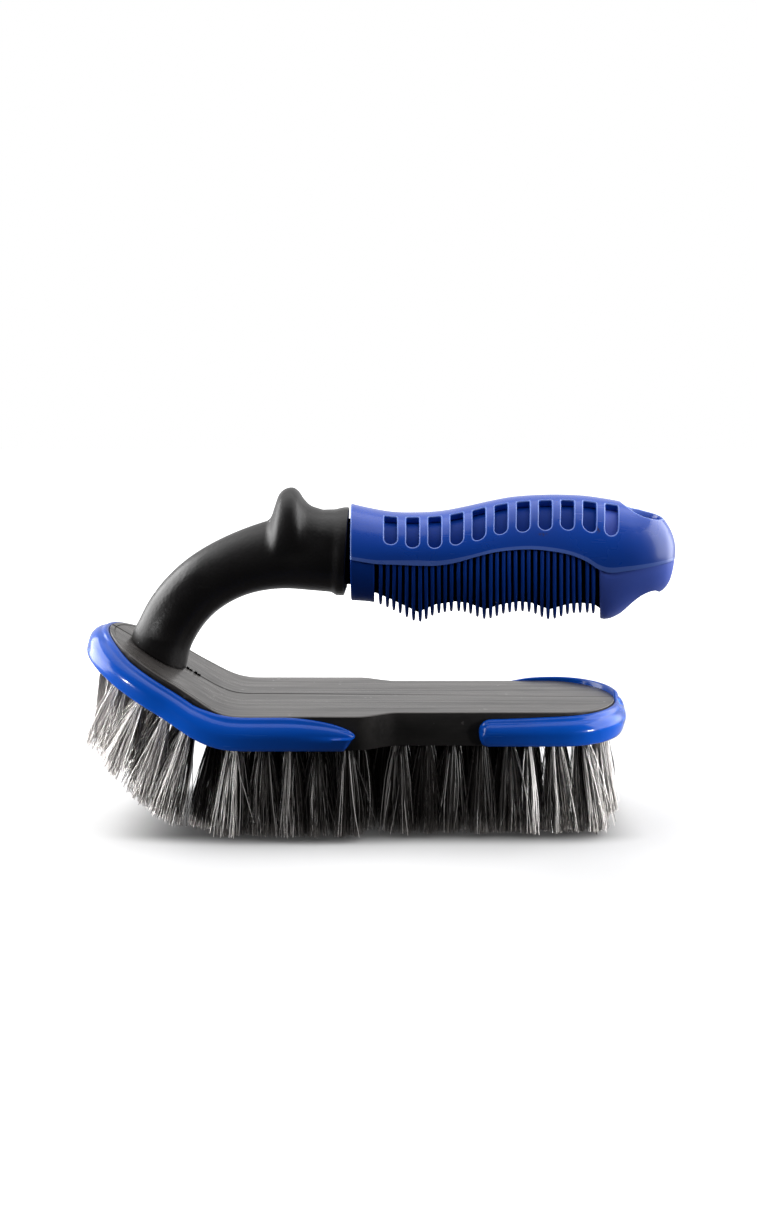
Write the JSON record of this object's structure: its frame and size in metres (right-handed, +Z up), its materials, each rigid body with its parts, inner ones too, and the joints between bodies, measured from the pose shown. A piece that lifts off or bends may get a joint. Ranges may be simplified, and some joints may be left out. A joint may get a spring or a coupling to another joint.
{
  "type": "upholstery brush",
  "caption": "Upholstery and tyre scrubbing brush with a bent tufted head, corner bumpers, an arched neck and a ribbed, slotted two-colour grip over the head.",
  "frame": {"origin": "middle of the box's underside: on the plane that the bristle tips stand on, midway along and across", "axes": "+X along the brush towards the tail and the grip's free end, +Y across it to the left of someone who looks along +X, +Z up from the bristle tips to the grip"},
  "size_m": [0.2058, 0.0652, 0.1163],
  "materials": {
    "head_plastic": "glossy black",
    "neck_plastic": "satin black",
    "cover_plastic": "glossy mid blue",
    "sleeve_plastic": "dull dark blue",
    "bumper_rubber": "glossy blue",
    "screw_steel": "zinc plated",
    "bristle": "split grey-black filament"
  },
  "bodies": {
    "root": {"head_block": "head_plastic", "neck": "neck_plastic", "handle_core": "neck_plastic", "grip_sleeve": "sleeve_plastic", "end_block": "sleeve_plastic", "grip_cover": "cover_plastic", "front_bumper": "bumper_rubber", "rear_bumper": "bumper_rubber", "neck_screw_front": "screw_steel", "neck_screw_rear": "screw_steel", "bristle_field_01": "bristle", "bristle_field_02": "bristle", "bristle_field_03": "bristle", "bristle_field_04": "bristle", "bristle_field_05": "bristle", "bristle_field_06": "bristle", "bristle_field_07": "bristle", "bristle_field_08": "bristle", "bristle_field_09": "bristle", "bristle_field_10": "bristle"}
  },
  "joints": []
}
